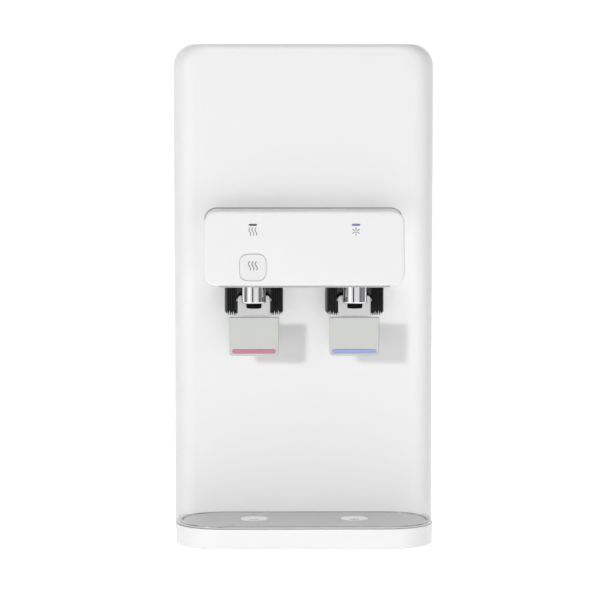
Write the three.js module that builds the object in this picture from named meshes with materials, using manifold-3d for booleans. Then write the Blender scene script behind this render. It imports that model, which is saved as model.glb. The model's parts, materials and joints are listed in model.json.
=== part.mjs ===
// A countertop hot and cold water dispenser: cabinet, tap head, two taps, drip tray and what is inside.
// Millimetres, +Z up, the front faces -Y. The origin is under the middle of the object's box.
import * as THREE from "three";
import { mergeVertices } from "three/addons/utils/BufferGeometryUtils.js";
import Module from "manifold-3d";

const wasm = await Module();
wasm.setup();

// ---- Driving dimensions -------------------------------------------------------------------------
const WIDTH = 260;
const HEIGHT = 492;
const PANEL_Y = -134; // front face of the front panel
const BACK_Y = 229; // rear face of the rear cover
const TRAY_FRONT_Y = -235;
const REAR_MOST_Y = 235; // ends of the rear fittings
const COVER_Z = 3; // lower edge of the covers
const WALL = 2.5;
const GAP = 0.3; // between touching pieces
const TOP_CORNER_R = 22; // seen from the front
const PLAN_CORNER_R = 22; // seen from above
const TOP_EDGE_R = 5; // seen from the side
const PANEL_DEPTH = 12; // how far the front panel wraps round the sides
const REAR_DEPTH = 9;
const TOP_COVER_Z = 468;
const SHELF_Z = 175;

const HEAD = { halfWidth: 98.7, bottom: 255.5, top: 328.5, cornerR: 12, topReach: 50, bottomReach: 64 };
const UNDERPLATE = { halfWidth: 84.5, reach: 60.5, thick: 1.5 };
const TAP_X = 49.8;
const NOZZLE = { reach: 46, r: 12, bottom: 237.4, top: 257.9, boreR: 5 };
const TIP = { r: 7.6, bottom: 232.2 };
const HOUSING = { halfWidth: 29, bottom: 224.3, back: 4, front: 33, chamfer: 4 };
const LEVER = { halfWidth: 16.1, top: 243.7, bottom: 222.6, back: 30, front: 33, cornerR: 4 };
const PIVOT = { reach: 26, z: 239.1, pinR: 1.5, pinHalf: 24.4, barrelR: 3, barrelInner: 6, barrelOuter: 15.5 };
const PADDLE = { halfWidth: 25.2, top: 222.3, bottom: 183.8, back: 31.3, front: 34.3 };
const STRIP = { halfWidth: 21.7, bottom: 186.4, top: 190.3 };
const STEM = { r: 2.4, z: 230.1, tipReach: 29.2, depth: 30 };
const PIPE = { r: 4, z: 280, holeR: 6.4, depth: 16 };
const CABLE_HOLE = { r: 8, z: 300 };
const BORE_GAP = 0.6; // around a sliding stem
const PIN_GAP = 0.3; // around the lever pin
const BUTTON = { x: -50.7, z: 273.6, size: 26.2, r: 10, travel: 1.5 };
const LED = { x: 50.7, z: 315, halfWidth: 4, halfHeight: 0.9, length: 10 };
const HEAD_BOARD = { halfWidth: 78, halfHeight: 14, z: 308, behind: 14, thick: 1.6 };

const TRAY = { halfWidth: 127, bottom: 0.3, top: 20.4, frontR: 46, backR: 6, floor: 3, wall: 9 };
const RIM = { halfWidth: 125, top: 23.4, front: 1, back: 1.6, r: 45, width: 4.5, lip: 8 };
const PLATE = { bottom: 21.6, top: 22.9 };
const DISH = { r: 14, holeR: 4, depth: 3.4 };
const TONGUE = { inner: 58, outer: 82, bottom: 8, top: 12, length: 22 };
const FOOT = { r: 13, x: 100, frontY: -100, backY: 196, height: 3.7 };
const ROUND = 20; // segments of a round piece

// ---- Materials ----------------------------------------------------------------------------------
function material(color, roughness, metalness = 0) {
  return new THREE.MeshStandardMaterial({ color, roughness, metalness });
}
const white = material(0xf2f2f2, 0.35);
const panelWhite = material(0xeeeeee, 0.3);
const blackGloss = material(0x0d0d0f, 0.12);
const chrome = material(0xd8d8dc, 0.08, 1);
const steel = material(0xb4b4b4, 0.38, 1);
const silver = material(0xcfcfcf, 0.3, 0.3);
const paddleGrey = material(0xcbceca, 0.35);
const red = material(0xc8798a, 0.35);
const blue = material(0x97a3d8, 0.35);
const rubber = material(0x2a2a2a, 0.85);
const foam = material(0xf4f2ea, 0.95);
const board = material(0x1f6b3a, 0.6);
const copper = material(0xb87333, 0.35, 1);
const brass = material(0xb59a55, 0.35, 1);
const filterBlue = material(0xdfe8f2, 0.5);

// ---- Solids -------------------------------------------------------------------------------------
// Vertices 0.001 mm apart or less are one, and triangles that collapse onto an edge are dropped.
function solid(geometry) {
  const bare = new THREE.BufferGeometry();
  bare.setAttribute("position", geometry.getAttribute("position"));
  if (geometry.index) bare.setIndex(geometry.index);
  const merged = mergeVertices(bare, 1e-3);
  const p = merged.attributes.position.array;
  const index = merged.index.array;
  const faces = [];
  let volume = 0;
  for (let i = 0; i < index.length; i += 3) {
    const [a, b, c] = [index[i], index[i + 1], index[i + 2]];
    if (a === b || b === c || c === a) continue;
    faces.push(a, b, c);
    const cross = [
      p[3 * b + 1] * p[3 * c + 2] - p[3 * b + 2] * p[3 * c + 1],
      p[3 * b + 2] * p[3 * c] - p[3 * b] * p[3 * c + 2],
      p[3 * b] * p[3 * c + 1] - p[3 * b + 1] * p[3 * c],
    ];
    volume += p[3 * a] * cross[0] + p[3 * a + 1] * cross[1] + p[3 * a + 2] * cross[2];
  }
  if (volume < 0) faces.reverse();
  return new wasm.Manifold(
    new wasm.Mesh({ numProp: 3, vertProperties: p, triVerts: new Uint32Array(faces) }),
  );
}

function geometryOf(body) {
  const mesh = body.getMesh();
  const geometry = new THREE.BufferGeometry();
  const position = new Float32Array(mesh.numVert * 3);
  for (let i = 0; i < mesh.numVert; i++)
    position.set(mesh.vertProperties.subarray(i * mesh.numProp, i * mesh.numProp + 3), i * 3);
  geometry.setAttribute("position", new THREE.BufferAttribute(position, 3));
  geometry.setIndex(new THREE.BufferAttribute(new Uint32Array(mesh.triVerts), 1));
  geometry.computeVertexNormals();
  return geometry;
}

const join = (first, ...rest) => rest.reduce((sum, next) => sum.add(next), first);
const cut = (first, ...rest) => rest.reduce((left, next) => left.subtract(next), first);
const common = (first, ...rest) => rest.reduce((shared, next) => shared.intersect(next), first);

function box(x0, x1, y0, y1, z0, z1) {
  const geometry = new THREE.BoxGeometry(x1 - x0, y1 - y0, z1 - z0);
  return solid(geometry.translate((x0 + x1) / 2, (y0 + y1) / 2, (z0 + z1) / 2));
}

// A rod along "x", "y" or "z" from one place on that axis to another; at gives the two other coordinates.
function rod(axis, r, from, to, at, segments = ROUND) {
  const geometry = new THREE.CylinderGeometry(r, r, to - from, segments);
  const middle = (from + to) / 2;
  if (axis === "x") geometry.rotateZ(-Math.PI / 2).translate(middle, at[0], at[1]);
  if (axis === "y") geometry.translate(at[0], middle, at[1]);
  if (axis === "z") geometry.rotateX(Math.PI / 2).translate(at[0], at[1], middle);
  return solid(geometry);
}

// A round body about an upright axis through x, y; the profile holds [radius, z] points.
function turned(profile, x, y, segments = ROUND) {
  const points = profile.map(([r, z]) => new THREE.Vector2(r, z));
  return solid(new THREE.LatheGeometry(points, segments).rotateX(Math.PI / 2).translate(x, y, 0));
}

// A rectangle with its own radius at each corner, anticlockwise from the lower left one.
function roundedRectangle(x0, x1, y0, y1, radii) {
  const [bl, br, tr, tl] = radii;
  const shape = new THREE.Shape();
  const corner = (cx, cy, r, start) => {
    if (r > 0) shape.absarc(cx, cy, r, start, start + Math.PI / 2, false);
  };
  shape.moveTo(x0 + bl, y0);
  shape.lineTo(x1 - br, y0);
  corner(x1 - br, y0 + br, br, -Math.PI / 2);
  shape.lineTo(x1, y1 - tr);
  corner(x1 - tr, y1 - tr, tr, 0);
  shape.lineTo(x0 + tl, y1);
  corner(x0 + tl, y1 - tl, tl, Math.PI / 2);
  shape.lineTo(x0, y0 + bl);
  corner(x0 + bl, y0 + bl, bl, Math.PI);
  return shape;
}

function polygon(points) {
  return new THREE.Shape(points.map(([x, y]) => new THREE.Vector2(x, y)));
}

function extruded(shape, depth, curveSegments) {
  return new THREE.ExtrudeGeometry(shape, { depth, bevelEnabled: false, curveSegments });
}

// A plan shape (x, y) raised from z0 to z1.
function raised(shape, z0, z1, curveSegments = 3) {
  return solid(extruded(shape, z1 - z0, curveSegments).translate(0, 0, z0));
}

// A front-view shape (x, z) carried from y0 to y1.
function carried(shape, y0, y1, curveSegments = 3) {
  return solid(extruded(shape, y1 - y0, curveSegments).rotateX(Math.PI / 2).translate(0, y1, 0));
}

// A side-view shape (y, z) carried from x0 to x1.
function sideways(shape, x0, x1, curveSegments = 2) {
  const turn = new THREE.Matrix4().makeBasis(
    new THREE.Vector3(0, 1, 0),
    new THREE.Vector3(0, 0, 1),
    new THREE.Vector3(1, 0, 0),
  );
  return solid(extruded(shape, x1 - x0, curveSegments).applyMatrix4(turn).translate(x0, 0, 0));
}

// A round wire or pipe along a smooth curve through the points.
function pipe(points, r, steps, curveSegments = 4) {
  const curve = new THREE.CatmullRomCurve3(points.map((p) => new THREE.Vector3(...p)));
  const section = new THREE.Shape();
  section.absarc(0, 0, r, 0, 2 * Math.PI, false);
  const options = { steps, extrudePath: curve, curveSegments, bevelEnabled: false };
  return solid(new THREE.ExtrudeGeometry(section, options));
}

const model = new THREE.Group();
function add(name, body, finish, parent = model) {
  const mesh = new THREE.Mesh(geometryOf(body), finish);
  mesh.name = name;
  parent.add(mesh);
}

// ---- Cabinet ------------------------------------------------------------------------------------
// The cabinet's outer form drawn in by an inset: rounded seen from the front, from above and from the side.
function cabinetForm(inset) {
  const [x, top] = [WIDTH / 2 - inset, HEIGHT - inset];
  const [y0, y1] = [PANEL_Y + inset, BACK_Y - inset];
  const z0 = inset > 0 ? COVER_Z - 10 : COVER_Z;
  const [rTop, rPlan] = [TOP_CORNER_R - inset, PLAN_CORNER_R - inset];
  const rEdge = Math.max(TOP_EDGE_R - inset, 0.5);
  return common(
    carried(roundedRectangle(-x, x, z0, top, [0, 0, rTop, rTop]), y0, y1),
    raised(roundedRectangle(-x, x, y0, y1, [rPlan, rPlan, rPlan / 2, rPlan / 2]), z0 - 1, top + 1),
    sideways(roundedRectangle(y0, y1, z0 - 1, top, [0, 0, rEdge, rEdge]), -x - 1, x + 1),
  );
}

const shell = cut(cabinetForm(0), cabinetForm(WALL));
const seamFrontY = PANEL_Y + PANEL_DEPTH;
const seamBackY = BACK_Y - REAR_DEPTH;
const far = WIDTH; // a half size that clears the cabinet

function trayTongueSlots() {
  const slot = (x0, x1) => {
    const [z0, z1] = [TONGUE.bottom - 0.7, TONGUE.top + 0.8];
    return box(x0 - 1, x1 + 1, PANEL_Y - 2, PANEL_Y + TONGUE.length, z0, z1);
  };
  return [slot(-TONGUE.outer, -TONGUE.inner), slot(TONGUE.inner, TONGUE.outer)];
}

function frontPanel() {
  const skin = common(shell, box(-far, far, PANEL_Y - 1, seamFrontY, 0, HEIGHT + 1));
  const through = [PANEL_Y - 1, PANEL_Y + WALL + 1];
  const holes = [-TAP_X, TAP_X].flatMap((x) => [
    rod("y", STEM.r + BORE_GAP, ...through, [x, STEM.z], 16),
    rod("y", PIPE.holeR, ...through, [x, PIPE.z], 16),
  ]);
  const cableHole = rod("y", CABLE_HOLE.r, ...through, [0, CABLE_HOLE.z], 16);
  return cut(skin, ...holes, ...trayTongueSlots(), cableHole);
}

function sideCover(side) {
  const middle = (seamFrontY + seamBackY) / 2;
  const half = (seamBackY - seamFrontY) / 2 - GAP;
  const [x0, x1] = side < 0 ? [-far, -60] : [60, far];
  return common(shell, box(x0, x1, middle - half, middle + half, 0, TOP_COVER_Z));
}

function topCover() {
  const zone = box(-far, far, seamFrontY + GAP, seamBackY - GAP, TOP_COVER_Z + GAP, HEIGHT + 1);
  return common(shell, zone);
}

const INLET = { x: 72, z: 52, halfWidth: 24, halfHeight: 14 };
const ROCKER = { x: 72, zs: [92, 118], r: 8.5, halfWidth: 9, y: 225.5, throw: 0.4 };
const FITTING = { x: -84, z: 52, r: 9 };
const DRAIN = { x: 0, z: 34, r: 6, capR: 11 };
const VENTS = { halfWidth: 78, first: 300, pitch: 14, count: 8, halfHeight: 2.5 };
const PAN = { bottom: 4, top: 18, floorTop: 7, wall: 3.2 };

function rearCover() {
  const skin = common(shell, box(-far, far, seamBackY, BACK_Y + 1, 0, HEIGHT + 1));
  const through = [BACK_Y - WALL - 2, BACK_Y + 2];
  const { x, z, halfWidth: w, halfHeight: h } = INLET;
  const openings = [
    box(x - w + 4, x + w - 4, ...through, z - h + 2.5, z + h - 2.5),
    rod("y", FITTING.r + 0.4, ...through, [FITTING.x, FITTING.z]),
    rod("y", DRAIN.r + 0.8, ...through, [DRAIN.x, DRAIN.z]),
  ];
  for (const rz of ROCKER.zs) {
    const [rw, rh] = [ROCKER.halfWidth + 0.5, ROCKER.r + 0.5];
    openings.push(box(ROCKER.x - rw, ROCKER.x + rw, ...through, rz - rh, rz + rh));
  }
  for (let i = 0; i < VENTS.count; i++) {
    const vz = VENTS.first + i * VENTS.pitch;
    const [vw, vh] = [VENTS.halfWidth, VENTS.halfHeight];
    openings.push(box(-vw, vw, ...through, vz - vh, vz + vh));
  }
  return cut(skin, ...openings);
}

function basePan() {
  const slabOf = (inset, z0, z1) => common(cabinetForm(inset), box(-far, far, -far, far, z0, z1));
  const outside = slabOf(WALL + GAP, PAN.bottom, PAN.top);
  const pan = cut(outside, slabOf(WALL + GAP + PAN.wall, PAN.floorTop, PAN.top + 1));
  return cut(pan, ...trayTongueSlots());
}

add("front_panel", frontPanel(), panelWhite);
add("left_side_cover", sideCover(-1), white);
add("right_side_cover", sideCover(1), white);
add("top_cover", topCover(), white);
add("rear_cover", rearCover(), white);
add("base_pan", basePan(), steel);

for (const [end, y] of [["front", FOOT.frontY], ["rear", FOOT.backY]])
  for (const [side, x] of [["left", -FOOT.x], ["right", FOOT.x]])
    add(`${end}_${side}_foot`, rod("z", FOOT.r, 0, FOOT.height, [x, y], 24), rubber);

// ---- Tap head -----------------------------------------------------------------------------------
// A place at a reach in front of the panel.
const ahead = (reach) => PANEL_Y - reach;
const headLean = (HEAD.bottomReach - HEAD.topReach) / (HEAD.top - HEAD.bottom);
// How far the head's leaning face reaches at a height.
const faceReach = (z) => HEAD.bottomReach - headLean * (z - HEAD.bottom);

function headForm(inset) {
  const { halfWidth, bottom, top, cornerR } = HEAD;
  const [x, z0, z1, r] = [halfWidth - inset, bottom + inset, top - inset, cornerR - inset];
  const front = carried(roundedRectangle(-x, x, z0, z1, [r, r, r, r]), ahead(80), PANEL_Y + 1);
  const back = inset > 0 ? PANEL_Y + 1 : PANEL_Y - GAP;
  const side = polygon([
    [ahead(faceReach(z0 - 5)) + inset, z0 - 5],
    [back, z0 - 5],
    [back, z1 + 5],
    [ahead(faceReach(z1 + 5)) + inset, z1 + 5],
  ]);
  return common(front, sideways(side, -x - 1, x + 1));
}

// A box in the leaning face's own directions: about a point on the face, from a depth behind it outwards.
function onFace(shape, z, inner, outer) {
  const geometry = new THREE.ExtrudeGeometry(shape, {
    depth: outer - inner,
    bevelEnabled: false,
    curveSegments: 2,
  });
  geometry.translate(0, 0, inner);
  geometry.rotateX(Math.PI / 2 - Math.atan(headLean));
  return solid(geometry.translate(0, ahead(faceReach(z)), z));
}

const squircle = (x, half, r) => roundedRectangle(x - half, x + half, -half, half, [r, r, r, r]);
const bar = (x, w, h) => roundedRectangle(x - w, x + w, -h, h, [h * 0.9, h * 0.9, h * 0.9, h * 0.9]);

// The cup behind the lock button that carries its dome, clear of the nozzle below it.
function buttonCage() {
  const half = BUTTON.size / 2;
  const cup = cut(
    onFace(squircle(BUTTON.x, half + 1.6, BUTTON.r + 1.6), BUTTON.z, -9.8, -2),
    onFace(squircle(BUTTON.x, half + 0.4, BUTTON.r + 0.4), BUTTON.z, -8.8, 0),
  );
  return common(cup, box(-far, far, -far, far, NOZZLE.top + GAP, HEIGHT));
}

function headCover() {
  const { halfWidth: w, reach } = UNDERPLATE;
  return cut(
    join(cut(headForm(0), headForm(WALL)), buttonCage()),
    box(-w + 3, w - 3, ahead(reach - 0.5), PANEL_Y + 1, HEAD.bottom - 1, HEAD.bottom + WALL + 1),
    onFace(squircle(BUTTON.x, BUTTON.size / 2 + 0.4, BUTTON.r + 0.4), BUTTON.z, -8.8, 4),
    onFace(bar(-LED.x, LED.halfWidth + 0.3, LED.halfHeight + 0.3), LED.z, -6, 4),
    onFace(bar(LED.x, LED.halfWidth + 0.3, LED.halfHeight + 0.3), LED.z, -6, 4),
  );
}

function headUnderplate() {
  const { halfWidth: w, reach, thick } = UNDERPLATE;
  const top = HEAD.bottom - GAP;
  const plate = box(-w, w, ahead(reach), PANEL_Y - GAP, top - thick, top);
  const holes = [-TAP_X, TAP_X].map((x) =>
    rod("z", NOZZLE.r + 0.5, top - thick - 1, top + 1, [x, ahead(NOZZLE.reach)]),
  );
  return cut(plate, ...holes);
}

function lockButton() {
  const half = BUTTON.size / 2;
  const cap = onFace(squircle(BUTTON.x, half, BUTTON.r), BUTTON.z, -4, 0.4);
  const plunger = onFace(squircle(BUTTON.x, 4, 3), BUTTON.z, -5, -3.5);
  return join(cap, plunger);
}

// Under the button's plunger, with room for its travel.
function lockButtonDome() {
  return onFace(squircle(BUTTON.x, 5, 4), BUTTON.z, -8.5, -5 - BUTTON.travel - 0.1);
}

function indicatorWindow(x) {
  return onFace(bar(x, LED.halfWidth, LED.halfHeight), LED.z, -LED.length, 0.1);
}

function headBoard() {
  const { halfWidth: w, halfHeight: h, z, behind, thick } = HEAD_BOARD;
  const front = thick - behind;
  const base = onFace(roundedRectangle(-w, w, -h, h, [2, 2, 2, 2]), z, -behind, front);
  const chip = onFace(roundedRectangle(-8, 12, -8, 8, [0, 0, 0, 0]), z, front - 0.2, front + 2.4);
  const plug = onFace(roundedRectangle(20, 36, -10, -2, [0, 0, 0, 0]), z, front - 0.2, front + 4.4);
  return join(base, chip, plug);
}

add("head_cover", headCover(), white);
add("head_underplate", headUnderplate(), white);
add("hot_lock_button", lockButton(), white);
add("lock_button_dome", lockButtonDome(), rubber);
add("hot_indicator_window", indicatorWindow(-LED.x), red);
add("cold_indicator_window", indicatorWindow(LED.x), blue);
add("head_board", headBoard(), board);

// ---- Taps ---------------------------------------------------------------------------------------
function tapHousing(x) {
  const { halfWidth: w, bottom, back, front, chamfer: c } = HOUSING;
  const top = HEAD.bottom - GAP - UNDERPLATE.thick - GAP;
  const outline = polygon([
    [x - w + c, bottom],
    [x + w - c, bottom],
    [x + w, bottom + c],
    [x + w, top],
    [x - w, top],
    [x - w, bottom + c],
  ]);
  const slotHalf = LEVER.halfWidth + 1.3;
  return cut(
    carried(outline, ahead(front), ahead(back)),
    box(x - slotHalf, x + slotHalf, ahead(front + 1), ahead(back + 6), bottom - 1, top - 1.4),
    rod("y", STEM.r + BORE_GAP, ahead(back + 7), ahead(back - 1), [x, STEM.z], 16),
    rod("x", PIVOT.pinR + PIN_GAP, x - 25, x + 25, [ahead(PIVOT.reach), PIVOT.z], 16),
  );
}

function nozzle(x) {
  const { r, bottom, top, boreR, reach } = NOZZLE;
  const profile = [
    [boreR, bottom],
    [r - 1, bottom],
    [r, bottom + 1],
    [r, top - 1],
    [r - 1, top],
    [boreR, top],
    [boreR, bottom],
  ];
  return turned(profile, x, ahead(reach));
}

function nozzleTip(x) {
  const top = NOZZLE.bottom + 6;
  const bore = 3;
  const profile = [
    [bore, TIP.bottom],
    [TIP.r - 0.8, TIP.bottom],
    [TIP.r, TIP.bottom + 0.8],
    [TIP.r, NOZZLE.bottom - GAP],
    [NOZZLE.boreR - GAP, NOZZLE.bottom - GAP],
    [NOZZLE.boreR - GAP, top],
    [bore, top],
    [bore, TIP.bottom],
  ];
  return turned(profile, x, ahead(NOZZLE.reach), 20);
}

// From the top of the nozzle up into the head and back through the panel to the valve.
function spoutPipe(x) {
  const [y, z] = [ahead(NOZZLE.reach), NOZZLE.top + GAP];
  const rise = [[x, y, z], [x, y + 1, z + 5], [x, y + 10, PIPE.z - 3]];
  return pipe([...rise, [x, y + 28, PIPE.z], [x, PANEL_Y + PIPE.depth, PIPE.z]], PIPE.r, 12);
}

function leverBracket(x) {
  const { halfWidth: w, top, bottom, back, front, cornerR: r } = LEVER;
  const { reach, z, pinR, barrelR, barrelInner, barrelOuter } = PIVOT;
  const outline = roundedRectangle(x - w, x + w, bottom, top, [0, 0, r, r]);
  const plate = carried(outline, ahead(front), ahead(back), 4);
  const tongue = box(x - 12, x + 12, ahead(back + 1), ahead(back - 1.6), PADDLE.bottom + 8, bottom + 3);
  const barrel = (x0, x1) => {
    const web = box(x0, x1, ahead(back + 1), ahead(reach), z - barrelR + 0.4, z + barrelR - 0.4);
    return join(rod("x", barrelR, x0, x1, [ahead(reach), z], 20), web);
  };
  const left = barrel(x - barrelOuter, x - barrelInner);
  const knuckles = [left, barrel(x + barrelInner, x + barrelOuter)];
  const bore = rod("x", pinR + PIN_GAP, x - 20, x + 20, [ahead(reach), z], 16);
  return cut(join(plate, tongue, ...knuckles), bore);
}

function leverPaddle(x) {
  const { halfWidth: w, top, bottom, back, front } = PADDLE;
  const outline = roundedRectangle(x - w, x + w, bottom, top, [3, 3, 1, 1]);
  const plate = carried(outline, ahead(front), ahead(back), 4);
  const half = STRIP.halfWidth + GAP;
  const [z0, z1] = [STRIP.bottom - GAP, STRIP.top + GAP];
  const groove = box(x - half, x + half, ahead(front + 1), ahead(front - 1.1), z0, z1);
  return cut(plate, groove);
}

function leverStrip(x) {
  const { halfWidth: w, bottom, top } = STRIP;
  const outline = roundedRectangle(x - w, x + w, bottom, top, [1.7, 1.7, 1.7, 1.7]);
  return carried(outline, ahead(PADDLE.front + 0.2), ahead(PADDLE.front - 0.8), 4);
}

function returnSpring(x) {
  const [turns, perTurn, wireR, coilR, length] = [3, 8, 0.45, 2.75, 8];
  const points = [];
  for (let i = 0; i <= turns * perTurn; i++) {
    const angle = (2 * Math.PI * i) / perTurn;
    const along = x - length / 2 + (length * i) / (turns * perTurn);
    const y = ahead(PIVOT.reach) + coilR * Math.cos(angle);
    points.push([along, y, PIVOT.z + coilR * Math.sin(angle)]);
  }
  return pipe(points, wireR, turns * perTurn, 2);
}

function valveBody(x) {
  const [y0, y1] = [PANEL_Y + 9, PANEL_Y + 44];
  const block = box(x - 15, x + 15, y0, y1, STEM.z - 13, STEM.z + 20);
  const outletPort = rod("y", PIPE.r * 2, PANEL_Y + 18, PANEL_Y + 40, [x, PIPE.z], 20);
  const column = box(x - 7, x + 7, PANEL_Y + 18, PANEL_Y + 40, STEM.z + 18, PIPE.z);
  return cut(join(block, column, outletPort), rod("y", STEM.r + 0.5, y0 - 1, y0 + 26, [x, STEM.z], 16));
}

function tap(name, x, stripFinish) {
  const { pinR, pinHalf, reach, z } = PIVOT;
  const stemRun = [ahead(STEM.tipReach), PANEL_Y + STEM.depth];
  add(`${name}_tap_housing`, tapHousing(x), blackGloss);
  add(`${name}_nozzle`, nozzle(x), chrome);
  add(`${name}_nozzle_tip`, nozzleTip(x), blackGloss);
  add(`${name}_spout_pipe`, spoutPipe(x), steel);
  add(`${name}_lever_bracket`, leverBracket(x), silver);
  add(`${name}_lever_paddle`, leverPaddle(x), paddleGrey);
  add(`${name}_lever_strip`, leverStrip(x), stripFinish);
  add(`${name}_lever_pin`, rod("x", pinR, x - pinHalf, x + pinHalf, [ahead(reach), z], 16), steel);
  add(`${name}_return_spring`, returnSpring(x), steel);
  add(`${name}_valve_stem`, rod("y", STEM.r, ...stemRun, [x, STEM.z], 16), brass);
  add(`${name}_valve_body`, valveBody(x), white);
}

tap("hot", -TAP_X, red);
tap("cold", TAP_X, blue);

// ---- Drip tray ----------------------------------------------------------------------------------
function dripTray() {
  const { halfWidth: w, bottom, top, frontR, backR, floor, wall } = TRAY;
  const backY = PANEL_Y - 0.4;
  const outline = roundedRectangle(-w, w, TRAY_FRONT_Y, backY, [frontR, frontR, backR, backR]);
  const outer = raised(outline, bottom, top, 5);
  const r = frontR - wall;
  const inner = roundedRectangle(-w + wall, w - wall, TRAY_FRONT_Y + wall, backY - wall, [r, r, r, r]);
  const basin = raised(inner, bottom + floor, top + 1, 5);
  const tongue = (x0, x1) =>
    box(x0, x1, backY - 3, PANEL_Y + TONGUE.length - 2, TONGUE.bottom, TONGUE.top);
  const tongues = [tongue(-TONGUE.outer, -TONGUE.inner), tongue(TONGUE.inner, TONGUE.outer)];
  return join(cut(outer, basin), ...tongues);
}

function rimOutline(inset) {
  const x = RIM.halfWidth - inset;
  const [y0, y1] = [TRAY_FRONT_Y + RIM.front + inset, PANEL_Y - RIM.back - inset];
  const r = RIM.r - inset;
  return roundedRectangle(-x, x, y0, y1, [r, r, r, r]);
}

function trayRim() {
  const bottom = TRAY.top + GAP;
  return cut(
    raised(rimOutline(0), bottom, RIM.top, 5),
    raised(rimOutline(RIM.width), PLATE.bottom - GAP, RIM.top + 1, 5),
    raised(rimOutline(RIM.lip), bottom - 1, RIM.top + 1, 5),
  );
}

// The plate has a shallow drain dish under each nozzle.
function dripPlate() {
  const { r: dishR, holeR, depth: dishDepth } = DISH;
  const y = ahead(NOZZLE.reach);
  let plate = raised(rimOutline(RIM.width + 0.4), PLATE.bottom, PLATE.top, 5);
  for (const x of [-TAP_X, TAP_X]) {
    const low = PLATE.bottom - dishDepth;
    const dish = [
      [holeR, low],
      [holeR + 1, low],
      [dishR + 1, PLATE.bottom],
      [dishR + 1, PLATE.top],
      [dishR, PLATE.top],
      [holeR, low + 1.5],
      [holeR, low],
    ];
    plate = cut(plate, rod("z", dishR + 0.5, 0, RIM.top + 5, [x, y], 24));
    plate = join(plate, turned(dish, x, y, 24));
  }
  return plate;
}

add("drip_tray", dripTray(), white);
add("tray_rim", trayRim(), chrome);
add("drip_plate", dripPlate(), steel);

// ---- Inside the cabinet -------------------------------------------------------------------------
const PAN_TOP_Z = PAN.floorTop + 0.4; // what stands on the pan starts here
const FRAME = { halfWidth: 122, sheet: 1.5 };

function innerFrame() {
  const { halfWidth: w, sheet } = FRAME;
  const shelf = box(-w, w, -80, 190, SHELF_Z + 1, SHELF_Z + 3);
  const leg = (x0, x1) => box(x0, x1, -60, 150, PAN_TOP_Z, SHELF_Z + 2);
  return join(shelf, leg(-w, -w + sheet), leg(w - sheet, w));
}

function compressor() {
  const profile = [
    [0, 12],
    [50, 12],
    [58, 30],
    [58, 96],
    [50, 118],
    [24, 132],
    [0, 134],
  ];
  const footPlate = box(-66, 66, 68, 152, PAN_TOP_Z, 13);
  return join(turned(profile, 0, 110), footPlate);
}

function condenser() {
  const block = box(-100, 100, 192, 212, 140, 168);
  const fins = [];
  for (let x = -88; x <= 88; x += 22) fins.push(box(x - 3, x + 3, 190, 208, 150, 170));
  return cut(block, ...fins);
}

const COLD_TANK = { x: 62, y: 30, r: 50, bottom: 186, top: 372 };
const HOT_TANK = { x: -64, y: 30, r: 38, bottom: 186, top: 340 };

function tank({ x, y, r, bottom, top }) {
  const profile = [
    [0, bottom],
    [r - 12, bottom],
    [r, bottom + 10],
    [r, top - 10],
    [r - 12, top],
    [8, top],
    [8, top + 12],
    [6.5, top + 12],
    [6.5, top - 1.5],
    [r - 12.6, top - 1.5],
    [r - 1.5, top - 10.6],
    [r - 1.5, bottom + 10.6],
    [r - 12.6, bottom + 1.5],
    [0, bottom + 1.5],
  ];
  return turned(profile, x, y, 20);
}

// A foam jacket, open on top.
function tankJacket({ x, y, r, bottom, top }, thick) {
  const [inner, outer] = [r + 0.6, r + thick];
  const profile = [
    [0, bottom - 7],
    [outer, bottom - 7],
    [outer, top + 4],
    [inner, top + 4],
    [inner, bottom - 1],
    [0, bottom - 1],
  ];
  return turned(profile, x, y, 20);
}

const FILTER = { y: -62, x: 46, r: 30, bottom: 26, top: 146 };

// A cartridge hanging in its socket; the bar across the bottom is its grip.
function filterCartridge(x) {
  const { y, r, bottom, top } = FILTER;
  const profile = [
    [0, bottom + 8],
    [r - 4, bottom + 8],
    [r, bottom + 12],
    [r, top - 8],
    [14, top],
    [14, top + 12],
    [0, top + 12],
  ];
  return join(turned(profile, x, y, 20), box(x - 20, x + 20, y - 3, y + 3, bottom, bottom + 9));
}

function filterManifold() {
  const { x, y, top } = FILTER;
  const block = box(-x - 26, x + 26, y - 20, y + 20, top + 3, SHELF_Z - 2);
  const socket = (sx) => rod("z", 14.6, top, top + 13, [sx, y], 24);
  return cut(block, socket(-x), socket(x));
}

function mainBoard() {
  const plate = box(-100, 4, 120, 180, 182, 184);
  const parts = [
    box(-92, -70, 126, 146, 183, 208),
    box(-60, -48, 130, 170, 183, 199),
    rod("z", 9, 183, 212, [-26, 150], 16),
    box(-14, 0, 126, 174, 183, 194),
  ];
  return join(plate, ...parts);
}

function inletValve() {
  const block = box(-98, -70, 178, 205, 38, 66);
  return join(block, rod("z", 9, 64, 92, [-84, 190], 16));
}

add("inner_frame", innerFrame(), steel);
add("compressor", compressor(), blackGloss);
add("condenser", condenser(), copper);
add("cold_tank", tank(COLD_TANK), steel);
add("cold_tank_jacket", tankJacket(COLD_TANK, 9), foam);
add("hot_tank", tank(HOT_TANK), steel);
add("hot_tank_jacket", tankJacket(HOT_TANK, 9), foam);
add("left_filter", filterCartridge(-FILTER.x), filterBlue);
add("right_filter", filterCartridge(FILTER.x), filterBlue);
add("filter_manifold", filterManifold(), white);
add("main_board", mainBoard(), board);
add("inlet_valve", inletValve(), white);

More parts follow.
